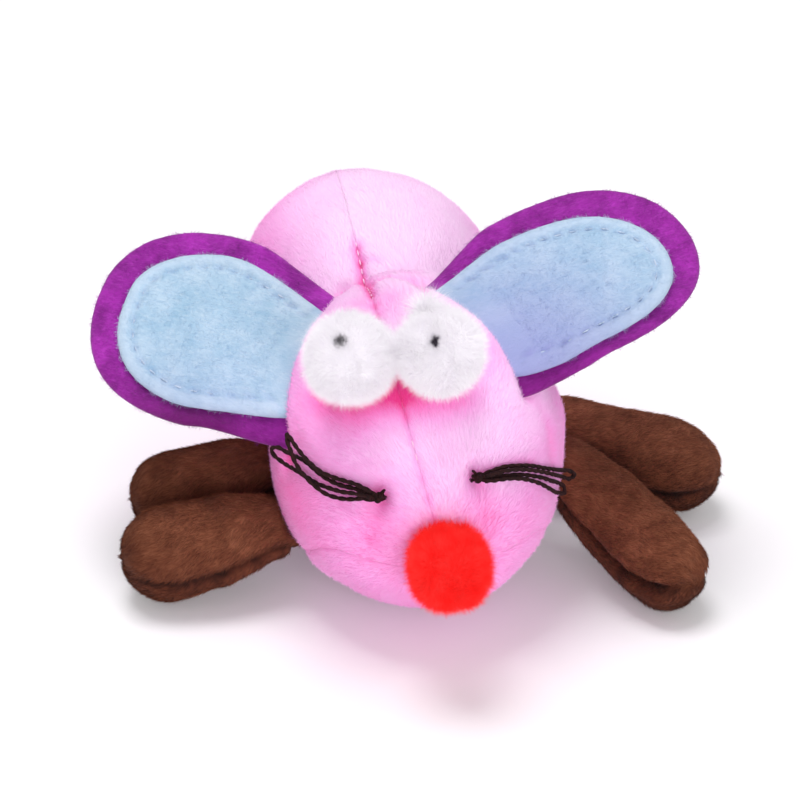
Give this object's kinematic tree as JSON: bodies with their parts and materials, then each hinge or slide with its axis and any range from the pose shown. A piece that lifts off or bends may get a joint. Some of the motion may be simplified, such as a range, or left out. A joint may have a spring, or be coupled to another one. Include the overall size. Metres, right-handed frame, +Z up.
{
  "type": "catnip mouse",
  "caption": "Stuffed plush mouse toy with wing-like felt ears, pom-pom eyes and nose, thread whiskers and loose stuffed legs.",
  "frame": {"origin": "on the floor, under the middle of the whole toy", "axes": "+Z up, the nose points to -Y, +X is the mouse's own left"},
  "size_m": [0.1084, 0.1084, 0.0603],
  "materials": {
    "pink_plush": "short-pile plush",
    "brown_plush": "short-pile plush",
    "purple_felt": "felt",
    "blue_felt": "felt",
    "white_pompom": "fluffy pom-pom",
    "red_pompom": "fluffy pom-pom",
    "black_thread": "waxed thread",
    "fibre_fill": "loose fibre",
    "pouch_cloth": "plain woven cloth"
  },
  "bodies": {
    "body": {"side_panel_left": "pink_plush", "side_panel_right": "pink_plush", "belly_panel": "pink_plush", "head_filling": "fibre_fill", "rump_filling": "fibre_fill", "catnip_pouch": "pouch_cloth", "eye_pompom_left": "white_pompom", "pupil_left": "black_thread", "eye_pompom_right": "white_pompom", "pupil_right": "black_thread", "nose_pompom": "red_pompom", "whisker_knot_left": "black_thread", "whisker_knot_right": "black_thread", "whisker_tie_thread": "black_thread", "whisker_right_upper": "black_thread", "whisker_right_lower": "black_thread", "whisker_left_upper": "black_thread", "whisker_left_lower": "black_thread"},
    "ear_left": {"ear_back_left": "purple_felt", "ear_front_left": "blue_felt"},
    "ear_right": {"ear_back_right": "purple_felt", "ear_front_right": "blue_felt"},
    "leg_front_left": {"leg_skin_front_left": "brown_plush", "leg_filling_front_left": "fibre_fill"},
    "leg_front_right": {"leg_skin_front_right": "brown_plush", "leg_filling_front_right": "fibre_fill"},
    "leg_rear_left": {"leg_skin_rear_left": "brown_plush", "leg_filling_rear_left": "fibre_fill"},
    "leg_rear_right": {"leg_skin_rear_right": "brown_plush", "leg_filling_rear_right": "fibre_fill"}
  },
  "joints": [
    {"name": "ear_left_hinge", "type": "hinge", "parent": "body", "child": "ear_left", "pos_m": [0.00806, -0.015, 0.05002], "axis": [-0.5426, 0.7625, 0.3524], "range_deg": [-40, 10], "stiffness_Nm_per_rad": 0.01},
    {"name": "ear_right_hinge", "type": "hinge", "parent": "body", "child": "ear_right", "pos_m": [-0.02132, -0.00925, 0.04178], "axis": [0.4087, 0.7682, 0.4928], "range_deg": [-15, 40], "stiffness_Nm_per_rad": 0.01},
    {"name": "leg_front_left_hinge", "type": "hinge", "parent": "body", "child": "leg_front_left", "pos_m": [0.02159, -0.01075, 0.0115], "axis": [0, 1, 0], "range_deg": [-25, 45]},
    {"name": "leg_front_right_hinge", "type": "hinge", "parent": "body", "child": "leg_front_right", "pos_m": [-0.02553, -0.01525, 0.0115], "axis": [0, 1, 0], "range_deg": [-45, 40]},
    {"name": "leg_rear_left_hinge", "type": "hinge", "parent": "body", "child": "leg_rear_left", "pos_m": [0.02037, 0.01025, 0.0115], "axis": [0, 1, 0], "range_deg": [-40, 45]},
    {"name": "leg_rear_right_hinge", "type": "hinge", "parent": "body", "child": "leg_rear_right", "pos_m": [-0.02508, 0.00325, 0.0115], "axis": [0, 1, 0], "range_deg": [-45, 40]}
  ]
}
